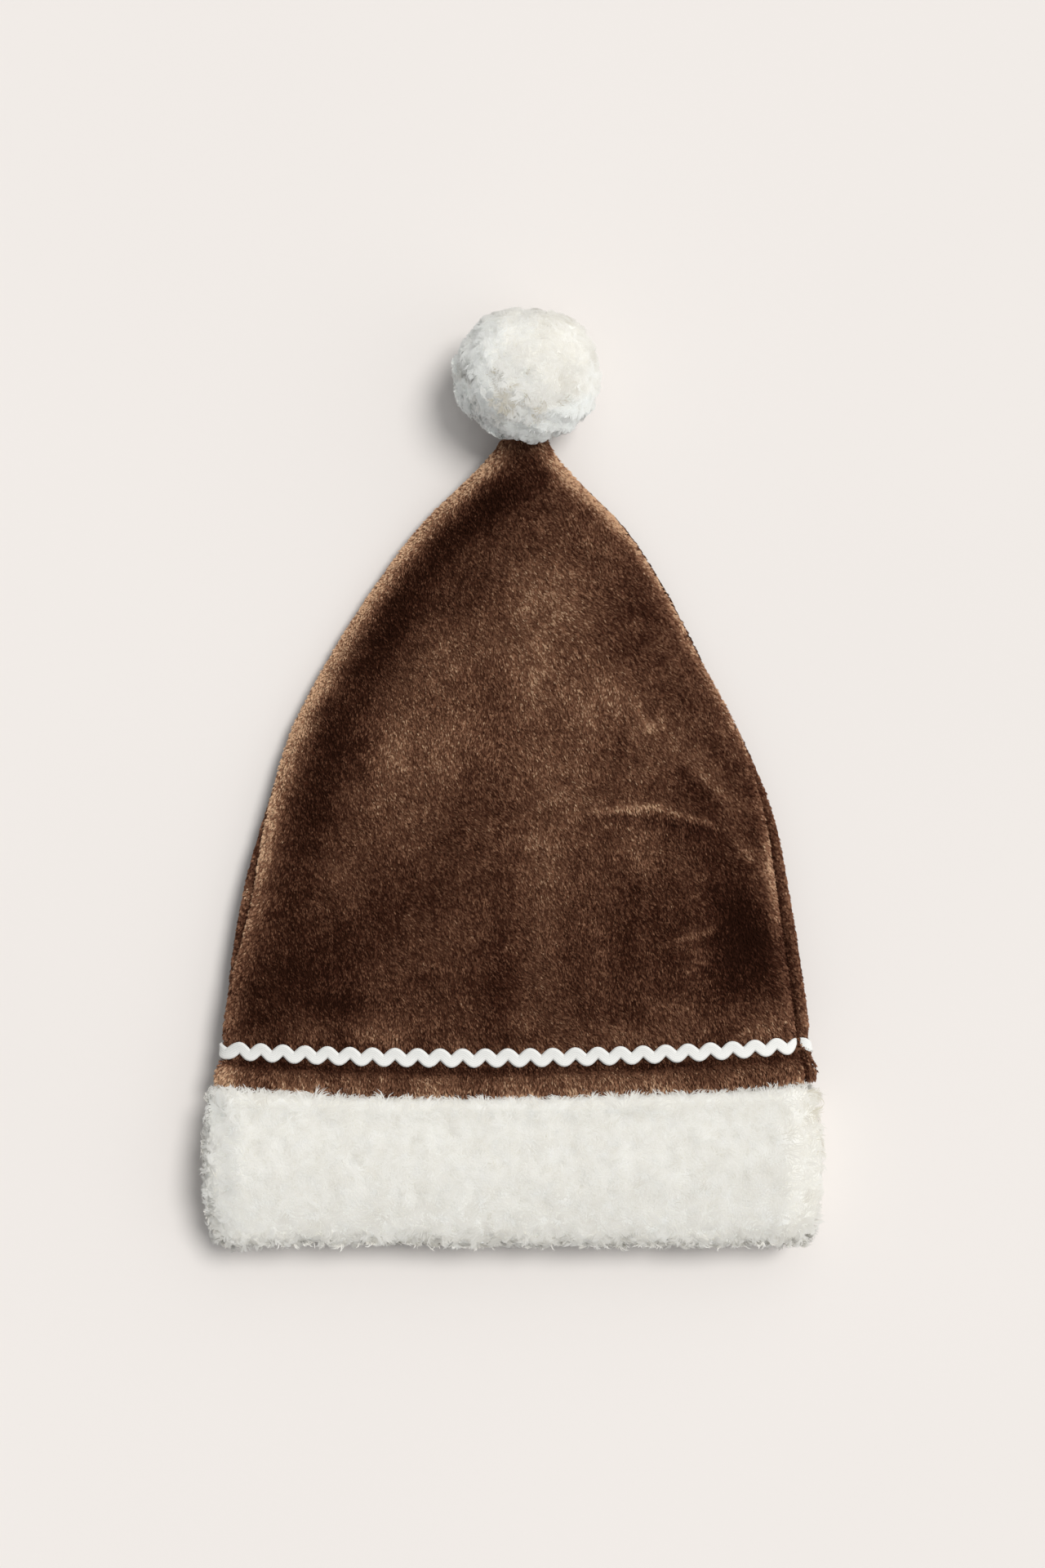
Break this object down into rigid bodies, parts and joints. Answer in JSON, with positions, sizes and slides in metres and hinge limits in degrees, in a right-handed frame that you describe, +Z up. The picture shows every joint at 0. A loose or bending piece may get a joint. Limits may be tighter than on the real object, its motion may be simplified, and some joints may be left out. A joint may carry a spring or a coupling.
{
  "type": "santa hat",
  "caption": "Soft plush santa hat lying flat, with a padded curly-fleece cuff, a wavy braid above it and a fleece pompom on the tip; worn on the head.",
  "frame": {"origin": "on the table, under the middle of the hat's bounding box", "axes": "+Z up from the table, +Y along the hat from the head opening to the pompom, +X to the right as seen from above"},
  "size_m": [0.2878, 0.435, 0.0605],
  "materials": {
    "plush": "chocolate-brown short-pile plush",
    "fleece": "off-white curly sherpa fleece",
    "braid": "white woven ric-rac tape"
  },
  "bodies": {
    "root": {"crown_front": "plush", "crown_back": "plush", "cuff": "fleece", "pompom": "fleece", "braid_front": "braid", "braid_back": "braid"}
  },
  "joints": []
}
